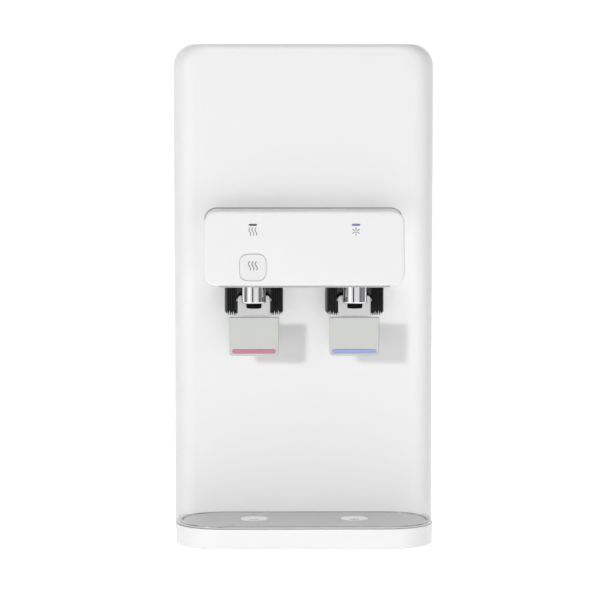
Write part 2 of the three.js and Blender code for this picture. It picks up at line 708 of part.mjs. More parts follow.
// ---- Rear fittings ------------------------------------------------------------------------------
function powerInlet() {
  const { x, z, halfWidth: w, halfHeight: h } = INLET;
  const y = BACK_Y + GAP;
  const flange = box(x - w, x + w, y, y + 2.2, z - h, z + h);
  const bodyBlock = box(x - w + 4.5, x + w - 4.5, BACK_Y - 22, y + 1, z - h + 3, z + h - 3);
  const socket = box(x - 13.5, x + 13.5, BACK_Y - 17, y + 4, z - 8, z + 8);
  const pins = [-7, 0, 7].map((dx, i) => {
    const pz = z + (i === 1 ? 3 : -2);
    return box(x + dx - 1, x + dx + 1, BACK_Y - 18, BACK_Y - 3, pz - 2, pz + 2);
  });
  return join(cut(join(flange, bodyBlock), socket), ...pins);
}

// A drum that turns on its own axis, with two flats meeting on the side that faces out.
function rocker(z) {
  const { x, y, r, halfWidth: w } = ROCKER;
  const drum = rod("x", r, x - w, x + w, [y, z], 28);
  const flat = (tilt) => {
    const slab = new THREE.BoxGeometry(3 * w, 20, 40).translate(0, 15, 0).rotateX(tilt);
    return solid(slab.translate(x, y, z));
  };
  return cut(drum, flat(0), flat(ROCKER.throw));
}

function waterInlet() {
  const { x, z, r } = FITTING;
  const [back, step] = [BACK_Y - 22, BACK_Y + GAP];
  return cut(
    join(rod("y", r, back, step + 1, [x, z], 24), rod("y", r + 3, step, REAR_MOST_Y, [x, z], 6)),
    rod("y", 3.4, back + 6, REAR_MOST_Y + 1, [x, z], 16),
  );
}

function drainPlug() {
  const { x, z, r, capR } = DRAIN;
  const cap = rod("y", capR, BACK_Y + 0.5, BACK_Y + 3, [x, z], 24);
  const grip = box(x - capR + 2, x + capR - 2, BACK_Y + 2, REAR_MOST_Y, z - 1.6, z + 1.6);
  return join(rod("y", r, BACK_Y - 18, BACK_Y + 1, [x, z], 20), cap, grip);
}

add("power_inlet", powerInlet(), blackGloss);
add("hot_power_switch", rocker(ROCKER.zs[0]), red);
add("cold_power_switch", rocker(ROCKER.zs[1]), blue);
add("water_inlet", waterInlet(), white);
add("drain_plug", drainPlug(), rubber);

export default model;
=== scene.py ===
# The looks of a countertop water dispenser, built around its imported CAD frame.
# Shapes are worked out in millimetres and written in metres; +Z is up and the front faces -Y.
import json
import math

import bmesh
import bpy
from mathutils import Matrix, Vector


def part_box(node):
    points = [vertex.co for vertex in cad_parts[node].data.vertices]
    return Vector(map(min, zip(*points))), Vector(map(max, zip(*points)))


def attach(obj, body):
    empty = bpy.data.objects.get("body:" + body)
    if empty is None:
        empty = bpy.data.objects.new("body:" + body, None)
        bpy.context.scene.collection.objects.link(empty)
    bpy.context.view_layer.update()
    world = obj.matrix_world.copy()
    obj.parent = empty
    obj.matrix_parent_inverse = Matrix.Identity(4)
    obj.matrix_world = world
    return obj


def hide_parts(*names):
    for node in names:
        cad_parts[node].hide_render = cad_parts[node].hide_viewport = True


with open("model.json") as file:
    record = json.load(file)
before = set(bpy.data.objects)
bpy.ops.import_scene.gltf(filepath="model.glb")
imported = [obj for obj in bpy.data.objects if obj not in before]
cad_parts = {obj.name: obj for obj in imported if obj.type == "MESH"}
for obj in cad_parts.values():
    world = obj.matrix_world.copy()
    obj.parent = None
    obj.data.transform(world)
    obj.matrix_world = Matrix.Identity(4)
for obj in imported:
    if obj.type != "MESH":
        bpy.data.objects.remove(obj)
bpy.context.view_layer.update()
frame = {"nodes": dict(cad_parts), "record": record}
MM = 0.001


def box_mm(node):
    """A CAD node's lowest and highest corners in millimetres."""
    low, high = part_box(node)
    return Vector([c / MM for c in low]), Vector([c / MM for c in high])


def centre_mm(node):
    """The middle of a CAD node's box in millimetres."""
    return [(a + b) / 2 for a, b in zip(*box_mm(node))]


# ---- Sizes, from the frame ----------------------------------------------------------------------
PANEL_LOW, PANEL_HIGH = box_mm("front_panel")
LID_LOW, LID_HIGH = box_mm("top_cover")
SIDE_LOW, SIDE_HIGH = box_mm("left_side_cover")
REAR_LOW, REAR_HIGH = box_mm("rear_cover")
HEAD_LOW, HEAD_HIGH = box_mm("head_cover")
UNDER_LOW, UNDER_HIGH = box_mm("head_underplate")
BUTTON_LOW, BUTTON_HIGH = box_mm("hot_lock_button")
TRAY_LOW, TRAY_HIGH = box_mm("drip_tray")
RIM_LOW, RIM_HIGH = box_mm("tray_rim")
PLATE_HIGH = box_mm("drip_plate")[1]

FRONT_Y, BACK_Y = PANEL_LOW.y, REAR_HIGH.y
HALF_WIDTH, TOP = LID_HIGH.x, LID_HIGH.z
COVER_Z = PANEL_LOW.z
CORNER_R = 22.0  # top corners seen from the front
PLAN_R = 22.0  # upright front edges seen from above
PLAN_BACK_R = 11.0
EDGE_R = 5.0  # top edges seen from the side
WALL = 2.5
HEAD_CORNER_R = 12.0
HEAD_FILLET = 2.6
HEAD_TOP_REACH, HEAD_BOTTOM_REACH = 50.0, 64.0
TRAY_FRONT_R, TRAY_BACK_R, TRAY_WALL = 46.0, 6.0, 9.0
RIM_R, RIM_WIDTH, RIM_LIP = 45.0, 4.5, 8.0
STEM_Z = centre_mm("hot_valve_stem")[2]
PIPE_Z = 280.0
PIVOT_Y, PIVOT_Z = centre_mm("hot_lever_pin")[1:]
TAP_XS = {name: centre_mm(f"{name}_nozzle")[0] for name in ("hot", "cold")}
NOZZLE_Y = centre_mm("hot_nozzle")[1]
DISH_R = 14.0
VENTS, VENT_BOTTOM, VENT_PITCH, VENT_HALF_LENGTH = 8, 300.0, 14.0, 78.0


# ---- Mesh tools ---------------------------------------------------------------------------------
def new_object(name, verts, faces):
    """A mesh object from points in millimetres, its faces turned to point outwards."""
    mesh = bpy.data.meshes.new(name)
    mesh.from_pydata([Vector(v) * MM for v in verts], [], faces)
    bm = bmesh.new()
    bm.from_mesh(mesh)
    bmesh.ops.remove_doubles(bm, verts=bm.verts, dist=1e-7)
    bmesh.ops.recalc_face_normals(bm, faces=bm.faces)
    bm.to_mesh(mesh)
    bm.free()
    obj = bpy.data.objects.new(name, mesh)
    bpy.context.scene.collection.objects.link(obj)
    return obj


def apply_modifiers(obj):
    bpy.context.view_layer.update()
    graph = bpy.context.evaluated_depsgraph_get()
    mesh = bpy.data.meshes.new_from_object(obj.evaluated_get(graph), depsgraph=graph)
    obj.modifiers.clear()
    old = obj.data
    obj.data = mesh
    bpy.data.meshes.remove(old)
    obj.data.name = obj.name
    return obj


def smooth(obj, angle=38):
    obj.data.shade_smooth()
    obj.data.set_sharp_from_angle(angle=math.radians(angle))


def finish_edges(obj, width=0.4, segments=2, angle=32):
    """Rounds the sharp edges and keeps the flats flat."""
    if width:
        bevel = obj.modifiers.new("edges", "BEVEL")
        bevel.width = width * MM
        bevel.segments = segments
        bevel.limit_method = "ANGLE"
        bevel.angle_limit = math.radians(angle)
        bevel.miter_outer = "MITER_ARC"
        bevel.use_clamp_overlap = True
        apply_modifiers(obj)
    smooth(obj)
    obj.modifiers.new("normals", "WEIGHTED_NORMAL").keep_sharp = True
    return apply_modifiers(obj)


def boolean(obj, operation, *others):
    """Cuts, joins or intersects obj with the others, which are used up."""
    for other in others:
        step = obj.modifiers.new("boolean", "BOOLEAN")
        step.operation = operation
        step.solver = "EXACT"
        step.object = other
        apply_modifiers(obj)
        old = other.data
        bpy.data.objects.remove(other)
        bpy.data.meshes.remove(old)
    return obj


def solidify(obj, thickness=WALL):
    """Gives an open skin its wall thickness, inwards."""
    wall = obj.modifiers.new("wall", "SOLIDIFY")
    wall.thickness = thickness * MM
    wall.offset = -1
    wall.use_even_offset = True
    return apply_modifiers(obj)


def loft(name, loops, closed_loops=True, cap_start=True, cap_end=True, ring=False):
    """A skin through loops of points; each loop has the same number of points."""
    n = len(loops[0])
    verts = [p for loop in loops for p in loop]
    faces = []
    across = n if closed_loops else n - 1
    pairs = [(i, i + 1) for i in range(len(loops) - 1)]
    if ring:
        pairs.append((len(loops) - 1, 0))
    for a, b in pairs:
        for j in range(across):
            k = (j + 1) % n
            faces.append((a * n + j, a * n + k, b * n + k, b * n + j))
    if cap_start:
        faces.append(tuple(range(n)))
    if cap_end:
        faces.append(tuple(range((len(loops) - 1) * n, len(loops) * n)))
    return new_object(name, verts, faces)


def arc(cx, cy, r, start, end, steps):
    """Points on a circle between two angles in degrees, both ends included."""
    points = []
    for i in range(steps + 1):
        a = math.radians(start + (end - start) * i / steps)
        points.append((cx + r * math.cos(a), cy + r * math.sin(a)))
    return points


def rounded(x0, x1, y0, y1, radii, steps=8):
    """A rectangle's outline, with a radius for each corner, anticlockwise from the lower left one."""
    bl, br, tr, tl = [max(r, 0.02) for r in radii]
    return (
        arc(x0 + bl, y0 + bl, bl, 180, 270, steps)
        + arc(x1 - br, y0 + br, br, 270, 360, steps)
        + arc(x1 - tr, y1 - tr, tr, 0, 90, steps)
        + arc(x0 + tl, y1 - tl, tl, 90, 180, steps)
    )


def upright(outline, z0, z1):
    """Two loops of a plan outline (x, y), for a prism."""
    return [[(x, y, z) for x, y in outline] for z in (z0, z1)]


def prism(name, outline, z0, z1):
    return loft(name, upright(outline, z0, z1))


def front_prism(name, outline, y0, y1):
    """A prism from a front-view outline (x, z)."""
    return loft(name, [[(x, y, z) for x, z in outline] for y in (y0, y1)])


def block(name, x0, x1, y0, y1, z0, z1):
    return prism(name, [(x0, y0), (x1, y0), (x1, y1), (x0, y1)], z0, z1)


def turned(name, profile, x, y, segments=64, closed=False):
    """A round piece about an upright axis; its (radius, z) profile runs axis to axis, or is closed."""
    loops = []
    for r, z in profile:
        loops.append([(x + max(r, 0.0) * math.cos(2 * math.pi * i / segments),
                       y + max(r, 0.0) * math.sin(2 * math.pi * i / segments), z) for i in range(segments)])
    return loft(name, loops, cap_start=not closed, cap_end=not closed, ring=closed)


def rod(name, axis, r, a, b, at, segments=32):
    """A cylinder along an axis, made as a cutter or a pin."""
    loops = []
    for along in (a, b):
        loop = []
        for i in range(segments):
            t = 2 * math.pi * i / segments
            u, v = r * math.cos(t), r * math.sin(t)
            loop.append({"x": (along, at[0] + u, at[1] + v), "y": (at[0] + u, along, at[1] + v),
                         "z": (at[0] + u, at[1] + v, along)}[axis])
        loops.append(loop)
    return loft(name, loops)


# ---- Materials ----------------------------------------------------------------------------------
def node_material(name):
    mat = bpy.data.materials.new(name)
    mat.use_nodes = True
    nodes = mat.node_tree.nodes
    shader = nodes.get("Principled BSDF")
    if shader is None:
        nodes.clear()
        out = nodes.new("ShaderNodeOutputMaterial")
        shader = nodes.new("ShaderNodeBsdfPrincipled")
        mat.node_tree.links.new(shader.outputs[0], out.inputs[0])
    return mat, mat.node_tree, shader


def noise(tree, scale, detail=3.0, stretch=(1, 1, 1), roughness=0.5):
    """Noise over the object's own coordinates, in metres, stretched along an axis where asked."""
    place = tree.nodes.new("ShaderNodeTexCoord")
    mapping = tree.nodes.new("ShaderNodeMapping")
    mapping.inputs["Scale"].default_value = stretch
    texture = tree.nodes.new("ShaderNodeTexNoise")
    texture.inputs["Scale"].default_value = scale
    texture.inputs["Detail"].default_value = detail
    texture.inputs["Roughness"].default_value = roughness
    tree.links.new(place.outputs["Object"], mapping.inputs["Vector"])
    tree.links.new(mapping.outputs["Vector"], texture.inputs["Vector"])
    return texture.outputs["Fac"]


def remap(tree, value, low, high, span=(0.3, 0.7)):
    """Maps a noise's usual span onto low to high."""
    node = tree.nodes.new("ShaderNodeMapRange")
    node.inputs["From Min"].default_value, node.inputs["From Max"].default_value = span
    node.inputs["To Min"].default_value = low
    node.inputs["To Max"].default_value = high
    tree.links.new(value, node.inputs["Value"])
    return node.outputs["Result"]


def blend_colours(tree, factor, a, b):
    node = tree.nodes.new("ShaderNodeMix")
    node.data_type = "RGBA"
    tree.links.new(factor, node.inputs["Factor"])
    node.inputs["A"].default_value = (*a, 1)
    node.inputs["B"].default_value = (*b, 1)
    return node.outputs["Result"]


def edge_mask(tree, low=0.52, high=0.62):
    """1 on worn outer edges, 0 on the flats."""
    geometry = tree.nodes.new("ShaderNodeNewGeometry")
    node = tree.nodes.new("ShaderNodeMapRange")
    node.inputs["From Min"].default_value = low
    node.inputs["From Max"].default_value = high
    tree.links.new(geometry.outputs["Pointiness"], node.inputs["Value"])
    return node.outputs["Result"]


def bump(tree, shader, heights, strength=0.2, distance=0.0001):
    """Adds the heights as one bump after the other."""
    last = None
    for height in heights:
        node = tree.nodes.new("ShaderNodeBump")
        node.inputs["Strength"].default_value = strength
        node.inputs["Distance"].default_value = distance
        tree.links.new(height, node.inputs["Height"])
        if last is not None:
            tree.links.new(last, node.inputs["Normal"])
        last = node.outputs["Normal"]
    tree.links.new(last, shader.inputs["Normal"])


def plastic(name, colour, roughness, spread=0.05, grain=2600, grain_strength=0.04, tint=0.992, specular=0.5):
    """Moulded plastic: fine mould grain, slow gloss changes, and edges rubbed a little lighter."""
    mat, tree, shader = node_material(name)
    darker = tuple(c * tint for c in colour)
    lighter = tuple(min(c * (2 - tint), 1.0) for c in colour)
    body = blend_colours(tree, noise(tree, 14, 2), darker, colour)
    mix = tree.nodes.new("ShaderNodeMix")
    mix.data_type = "RGBA"
    tree.links.new(edge_mask(tree), mix.inputs["Factor"])
    tree.links.new(body, mix.inputs["A"])
    mix.inputs["B"].default_value = (*lighter, 1)
    tree.links.new(mix.outputs["Result"], shader.inputs["Base Color"])
    gloss = remap(tree, noise(tree, 7, 0), max(roughness - spread, 0.02), roughness + spread, (0, 1))
    tree.links.new(gloss, shader.inputs["Roughness"])
    shader.inputs["Specular IOR Level"].default_value = specular
    bump(tree, shader, [noise(tree, grain, 2)], grain_strength, 0.00002)
    return mat


def polished(name, colour, roughness=0.06, scratch=0.05):
    """Plated metal: faint hairline scratches and a slow haze."""
    mat, tree, shader = node_material(name)
    shader.inputs["Metallic"].default_value = 1.0
    haze = remap(tree, noise(tree, 60, 5), 0, 1)
    tone = blend_colours(tree, haze, tuple(c * 0.96 for c in colour), colour)
    tree.links.new(tone, shader.inputs["Base Color"])
    scratches = noise(tree, 300, 6, (1, 1, 14), 0.7)
    gloss = remap(tree, scratches, max(roughness - 0.03, 0.02), roughness + 0.05)
    tree.links.new(gloss, shader.inputs["Roughness"])
    bump(tree, shader, [scratches], scratch, 0.00001)
    return mat


def brushed(name, colour, roughness=0.32, along="x", strength=0.25, metallic=1.0):
    """Rolled or brushed metal: long fine lines along one axis."""
    mat, tree, shader = node_material(name)
    shader.inputs["Metallic"].default_value = metallic
    stretch = {"x": (0.03, 1, 1), "y": (1, 0.03, 1), "z": (1, 1, 0.03)}[along]
    lines = noise(tree, 1500, 4, stretch, 0.65)
    broad = noise(tree, 22, 4)
    tone = blend_colours(tree, remap(tree, lines, 0, 1), tuple(c * 0.9 for c in colour), colour)
    tree.links.new(tone, shader.inputs["Base Color"])
    add = tree.nodes.new("ShaderNodeMath")
    add.operation = "ADD"
    tree.links.new(remap(tree, lines, roughness - 0.06, roughness + 0.06), add.inputs[0])
    tree.links.new(remap(tree, broad, -0.03, 0.03), add.inputs[1])
    tree.links.new(add.outputs[0], shader.inputs["Roughness"])
    bump(tree, shader, [lines], strength, 0.00002)
    return mat


def rubber(name, colour, roughness=0.8):
    mat, tree, shader = node_material(name)
    dust = remap(tree, noise(tree, 90, 6), 0, 1)
    tone = blend_colours(tree, dust, colour, tuple(c * 1.35 for c in colour))
    tree.links.new(tone, shader.inputs["Base Color"])
    gloss = remap(tree, noise(tree, 160, 4), roughness - 0.1, roughness + 0.1)
    tree.links.new(gloss, shader.inputs["Roughness"])
    bump(tree, shader, [noise(tree, 1800, 3)], 0.3, 0.00008)
    return mat


def foam(name, colour):
    """Expanded bead foam: rounded cells a few millimetres across."""
    mat, tree, shader = node_material(name)
    place = tree.nodes.new("ShaderNodeTexCoord")
    cells = tree.nodes.new("ShaderNodeTexVoronoi")
    cells.inputs["Scale"].default_value = 330
    tree.links.new(place.outputs["Object"], cells.inputs["Vector"])
    tone = blend_colours(tree, cells.outputs["Distance"], colour, tuple(c * 0.86 for c in colour))
    tree.links.new(tone, shader.inputs["Base Color"])
    tree.links.new(remap(tree, noise(tree, 120, 3), 0.85, 1.0), shader.inputs["Roughness"])
    bump(tree, shader, [cells.outputs["Distance"]], 0.5, 0.0004)
    return mat


def circuit(name, colour):
    """Circuit board: solder mask with copper tracks showing as a slightly lighter grid."""
    mat, tree, shader = node_material(name)
    place = tree.nodes.new("ShaderNodeTexCoord")
    tracks = tree.nodes.new("ShaderNodeTexBrick")
    tracks.inputs["Scale"].default_value = 260
    tracks.inputs["Color1"].default_value = (*colour, 1)
    tracks.inputs["Color2"].default_value = (*[c * 0.8 for c in colour], 1)
    tracks.inputs["Mortar"].default_value = (*[min(c * 1.9 + 0.01, 1) for c in colour], 1)
    tracks.inputs["Mortar Size"].default_value = 0.03
    tree.links.new(place.outputs["Object"], tracks.inputs["Vector"])
    tree.links.new(tracks.outputs["Color"], shader.inputs["Base Color"])
    tree.links.new(remap(tree, noise(tree, 150, 4), 0.35, 0.55), shader.inputs["Roughness"])
    bump(tree, shader, [tracks.outputs["Fac"]], 0.2, 0.00005)
    return mat


MATERIALS = {
    "panel": plastic("panel_white", (0.835, 0.835, 0.837), 0.32, 0.03, tint=0.996, specular=0.3),
    "cover": plastic("cover_white", (0.82, 0.82, 0.822), 0.34, 0.04, 1900, 0.08, 0.994),
    "head": plastic("head_white", (0.84, 0.84, 0.842), 0.3, 0.03, tint=0.996),
    # The underplate's grey is partly its own colour and partly painted shade, darkened for the shade under
    # the head.
    "underplate": plastic("underplate_shaded_grey", (0.42, 0.42, 0.425), 0.4),
    "button": plastic("button_white", (0.81, 0.81, 0.81), 0.28, 0.03, tint=0.996),
    "tray": plastic("tray_white", (0.88, 0.88, 0.882), 0.26, 0.03, tint=0.996),
    "rim": polished("rim_plating", (0.5, 0.5, 0.51), 0.1),
    "plate": brushed("plate_steel", (0.59, 0.59, 0.59), 0.34, "x"),
    "tap_black": plastic("tap_black", (0.003, 0.003, 0.0033), 0.11, 0.03, 900, 0.03, specular=0.65),
    "nozzle_chrome": polished("nozzle_chrome", (0.86, 0.86, 0.87), 0.05),
    "bracket": plastic("bracket_silver", (0.585, 0.585, 0.592), 0.24, 0.04, 2200, 0.05),
    "paddle": plastic("paddle_grey", (0.57, 0.582, 0.555), 0.28, 0.03, 2000, 0.04, 0.996),
    "hot_strip": plastic("hot_strip_red", (0.52, 0.22, 0.29), 0.35),
    "cold_strip": plastic("cold_strip_blue", (0.32, 0.38, 0.68), 0.35),
    "hot_window": plastic("hot_window_red", (0.12, 0.1, 0.105), 0.2, 0.03),
    "cold_window": plastic("cold_window_blue", (0.2, 0.22, 0.46), 0.2, 0.03),
    "foot_rubber": rubber("foot_rubber", (0.025, 0.025, 0.025)),
    "plug_rubber": rubber("plug_rubber", (0.06, 0.06, 0.065)),
    "chassis": brushed("chassis_zinc", (0.5, 0.51, 0.52), 0.45, "y"),
    "board": circuit("board_green", (0.015, 0.12, 0.05)),
    "compressor": plastic("compressor_enamel", (0.012, 0.012, 0.013), 0.35, 0.08, 300, 0.2),
    "condenser": plastic("condenser_black", (0.03, 0.03, 0.03), 0.45, 0.08, 300, 0.2),
    "tank_steel": brushed("tank_steel", (0.6, 0.6, 0.6), 0.28, "z"),
    "stem_brass": brushed("stem_brass", (0.62, 0.46, 0.2), 0.25, "y"),
    "foam": foam("jacket_foam", (0.82, 0.81, 0.77)),
    "filter": plastic("filter_white", (0.8, 0.82, 0.85), 0.35),
    "inner_plastic": plastic("inner_plastic", (0.74, 0.74, 0.72), 0.5, 0.06, 1500, 0.12),
    "hot_rocker": plastic("rocker_red", (0.42, 0.015, 0.015), 0.25),
    "cold_rocker": plastic("rocker_blue", (0.015, 0.07, 0.4), 0.25),
}
INK = plastic("marking_grey", (0.17, 0.17, 0.175), 0.5)
CUP_PLATING = polished("drain_cup_plating", (0.95, 0.95, 0.95))
# The seal's dark grey is painted shade: it stands for the shadow line where the head meets the panel.
SEAL_SHADE_GREY = plastic("seal_shade_grey", (0.2, 0.2, 0.2), 0.5)
TIP_BLACK = plastic("tip_black", (0.002, 0.002, 0.002), 0.4, 0.04, specular=0.08)

NODE_SLOT = {row["node"]: row["material_slot"] for row in frame["record"]["subparts"]}
NODE_BODY = {n: b for b, ns in frame["record"]["behaviour"]["bodies"].items() for n in ns}
for node, cad_object in frame["nodes"].items():
    cad_object.data.materials.clear()
    cad_object.data.materials.append(MATERIALS[NODE_SLOT[node]])


def place(obj, node, stands_for=True, material=None, slot=None):
    """Gives a piece its material and body from a CAD node, and hides the node if the piece stands for it."""
    obj.data.materials.clear()
    obj.data.materials.append(material or MATERIALS[NODE_SLOT[node]])
    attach(obj, NODE_BODY[node])
    if stands_for:
        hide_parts(node)
    return obj


def refined(node, width=0.4, segments=2):
    """A CAD node's own shape with its flats made whole and its edges rounded."""
    obj = bpy.data.objects.new(node + "_fine", frame["nodes"][node].data.copy())
    bpy.context.scene.collection.objects.link(obj)
    bm = bmesh.new()
    bm.from_mesh(obj.data)
    bmesh.ops.remove_doubles(bm, verts=bm.verts, dist=1e-6)
    bmesh.ops.dissolve_limit(bm, angle_limit=math.radians(1), verts=bm.verts, edges=bm.edges)
    bm.to_mesh(obj.data)
    bm.free()
    return place(finish_edges(obj, width, segments), node)


# ---- Cabinet skins ------------------------------------------------------------------------------
def round_in(depth, radius):
    """How far a rounded edge is drawn in at a depth behind its flat."""
    if depth >= radius:
        return 0.0
    return radius - math.sqrt(max(radius ** 2 - (radius - depth) ** 2, 0))


def cabinet_outline(y, steps=14):
    """The cabinet's outline at a depth, from the lower left over the top to the lower right."""
    side = round_in(y - FRONT_Y, PLAN_R) + round_in(BACK_Y - y, PLAN_BACK_R)
    drop = round_in(y - FRONT_Y, EDGE_R) + round_in(BACK_Y - y, EDGE_R)
    x, top = HALF_WIDTH - side, TOP - drop
    r = CORNER_R - 0.8 * drop
    left = arc(-x + r, top - r, r, 180, 90, steps)
    right = arc(x - r, top - r, r, 90, 0, steps)
    return [(-x, y, COVER_Z)] + [(px, y, pz) for px, pz in left + right] + [(x, y, COVER_Z)]


def front_stations(depth_from, depth_to, radius=PLAN_R, steps=16):
    """Depths behind the front face, close together where the edge turns."""
    a0 = math.acos(1 - min(depth_from, radius) / radius)
    a1 = math.acos(1 - min(depth_to, radius) / radius)
    return [radius * (1 - math.cos(a0 + (a1 - a0) * i / steps)) for i in range(steps + 1)]


def front_panel():
    ys = [FRONT_Y + d for d in front_stations(0, PANEL_HIGH.y - FRONT_Y)]
    skin = loft("front_panel_skin", [cabinet_outline(y) for y in ys], False, True, False)
    panel = solidify(skin)
    cutters = []
    for side in (-1, 1):
        x0, x1 = sorted((side * 57.2, side * 82.8))
        slot = rounded(x0, x1, 7.3, 12.8, [1] * 4, 4)
        cutters.append(front_prism("slot", slot, FRONT_Y - 3, FRONT_Y + 5))
    for x in TAP_XS.values():
        cutters.append(rod("stem_hole", "y", 3.2, FRONT_Y - 3, FRONT_Y + 5, (x, STEM_Z)))
        cutters.append(rod("pipe_hole", "y", 6.4, FRONT_Y - 3, FRONT_Y + 5, (x, PIPE_Z)))
    boolean(panel, "DIFFERENCE", *cutters)
    place(finish_edges(panel, 0.45, 3), "front_panel")


def strip_of(outline, z_low, z_high, side):
    """The straight part of one side of an outline."""
    x, y = (outline[0][0], outline[0][1]) if side < 0 else (outline[-1][0], outline[-1][1])
    return [(x, y, z_low), (x, y, z_high)]


def long_stations():
    """Depths along the covers: close together at the rounded front and rear, then one long run."""
    front = [FRONT_Y + d for d in front_stations(SIDE_LOW.y - FRONT_Y, PLAN_R, steps=8)]
    rear_turn = BACK_Y - PLAN_BACK_R
    return front + [rear_turn, (rear_turn + SIDE_HIGH.y) / 2, SIDE_HIGH.y]


def side_covers():
    for side, node in ((-1, "left_side_cover"), (1, "right_side_cover")):
        loops = [strip_of(cabinet_outline(y), COVER_Z, SIDE_HIGH.z, side) for y in long_stations()]
        skin = loft(node + "_skin", loops, False, False, False)
        outwards(skin, side)
        place(finish_edges(solidify(skin), 0.45, 3), node)


def outwards(skin, side):
    """Turns an open side skin so that its faces look away from the middle."""
    if skin.data.polygons[0].normal.x * side < 0:
        skin.data.flip_normals()


def top_cover():
    loops = []
    for y in long_stations():
        outline = cabinet_outline(y)[1:-1]
        first, last = outline[0], outline[-1]
        foot = [(first[0], y, LID_LOW.z)]
        other = [(last[0], y, LID_LOW.z)]
        loops.append(foot + outline + other)
    skin = loft("top_cover_skin", loops, False, False, False)
    middle = min(skin.data.polygons, key=lambda f: abs(f.center.x))
    if middle.normal.z < 0:
        skin.data.flip_normals()
    place(finish_edges(solidify(skin), 0.45, 3), "top_cover")


def rear_cover():
    depth = REAR_HIGH.y - REAR_LOW.y
    ys = [BACK_Y - d for d in front_stations(0, depth, PLAN_BACK_R, 12)]
    skin = loft("rear_cover_skin", [cabinet_outline(y) for y in ys], False, True, False)
    cover = solidify(skin)
    through = (BACK_Y - WALL - 2, BACK_Y + 2)
    cutters = []
    for i in range(VENTS):
        z = VENT_BOTTOM + VENT_PITCH * i
        slot = rounded(-VENT_HALF_LENGTH, VENT_HALF_LENGTH, z - 2.5, z + 2.5, [2.4] * 4, 5)
        cutters.append(front_prism("vent", slot, *through))
    inlet_low, inlet_high = box_mm("power_inlet")
    cutters.append(block("inlet", inlet_low.x + 4, inlet_high.x - 4, *through,
                         inlet_low.z + 2.5, inlet_high.z - 2.5))
    for node in ("hot_power_switch", "cold_power_switch"):
        low, high = box_mm(node)
        cutters.append(block("switch", low.x - 0.5, high.x + 0.5, *through, low.z - 0.5, high.z + 0.5))
    for node, r in (("water_inlet", 9.4), ("drain_plug", 6.8)):
        low, high = box_mm(node)
        cutters.append(rod("port", "y", r, *through, ((low.x + high.x) / 2, (low.z + high.z) / 2)))
    boolean(cover, "DIFFERENCE", *cutters)
    place(finish_edges(cover, 0.4, 2), "rear_cover")


# ---- Feet ---------------------------------------------------------------------------------------
def feet():
    for end in ("front", "rear"):
        for side in ("left", "right"):
            node = f"{end}_{side}_foot"
            low, high = box_mm(node)
            r = (high.x - low.x) / 2
            profile = [(0, high.z), (r - 0.6, high.z), (r, high.z - 0.6), (r, 0.9), (r - 0.3, 0.3),
                       (r - 0.9, 0.0), (r - 3, 0.0), (r - 3.4, 0.5), (r - 4.6, 0.5), (r - 5, 0.0), (0, 0.0)]
            foot = turned(node + "_fine", profile, (low.x + high.x) / 2, (low.y + high.y) / 2, 48)
            place(finish_edges(foot, 0), node)


# ---- Tap head -----------------------------------------------------------------------------------
LEAN = math.atan((HEAD_BOTTOM_REACH - HEAD_TOP_REACH) / (HEAD_HIGH.z - HEAD_LOW.z))


def face_y(z):
    """Where the head's leaning face is at a height."""
    return FRONT_Y - HEAD_BOTTOM_REACH + (z - HEAD_LOW.z) * math.tan(LEAN)


def on_face(z0, u, v, n):
    """A point given across, up and out from the face at height z0."""
    y = face_y(z0) + v * math.sin(LEAN) - n * math.cos(LEAN)
    z = z0 + v * math.cos(LEAN) + n * math.sin(LEAN)
    return (u, y, z)


def face_prism(name, outline, z0, n0, n1):
    return loft(name, [[on_face(z0, u, v, n) for u, v in outline] for n in (n0, n1)])


def bar_outline(x, half_width, half_height, steps=8):
    r = half_height * 0.98
    return rounded(x - half_width, x + half_width, -half_height, half_height, [r] * 4, steps)


def squircle(x, half, power=3.4, count=72):
    """A rounded square: a superellipse."""
    points = []
    for i in range(count):
        a = 2 * math.pi * i / count
        c, s = math.cos(a), math.sin(a)
        u = math.copysign(abs(c) ** (2 / power), c)
        v = math.copysign(abs(s) ** (2 / power), s)
        points.append((x + half * u, half * v))
    return points


BUTTON_X = (BUTTON_LOW.x + BUTTON_HIGH.x) / 2
BUTTON_Z = 273.6
BUTTON_HALF = (BUTTON_HIGH.x - BUTTON_LOW.x) / 2
WINDOWS = {f"{name}_indicator_window": sum(p.x for p in box_mm(f"{name}_indicator_window")) / 2
           for name in ("hot", "cold")}
WINDOW_Z = 315.0
MARK_Z = 308.5


def head_cover():
    x, z0, z1 = HEAD_HIGH.x, HEAD_LOW.z, HEAD_HIGH.z
    loops = []
    for i in range(9):
        a = math.radians(90 * i / 8)
        inset, back = HEAD_FILLET * (1 - math.sin(a)), HEAD_FILLET * (1 - math.cos(a))
        outline = rounded(-x + inset, x - inset, z0 + inset, z1 - inset, [HEAD_CORNER_R - inset] * 4, 12)
        loops.append([(px, face_y(pz) + back, pz) for px, pz in outline])
    outline = rounded(-x, x, z0, z1, [HEAD_CORNER_R] * 4, 12)
    loops.append([(px, HEAD_HIGH.y, pz) for px, pz in outline])
    cover = solidify(loft("head_cover_skin", loops, True, True, False))
    cutters = [face_prism("button_hole", squircle(BUTTON_X, BUTTON_HALF + 0.55), BUTTON_Z, -9, 4)]
    for wx in WINDOWS.values():
        cutters.append(face_prism("window_hole", bar_outline(wx, 4.2, 1.1), WINDOW_Z, -6, 4))
    opening = [UNDER_LOW.x + 3, UNDER_HIGH.x - 3, UNDER_LOW.y + 0.5, HEAD_HIGH.y + 2]
    cutters.append(block("under_opening", *opening, z0 - 1, z0 + WALL + 1))
    boolean(cover, "DIFFERENCE", *cutters)
    place(finish_edges(cover, 0.3, 2, 40), "head_cover")


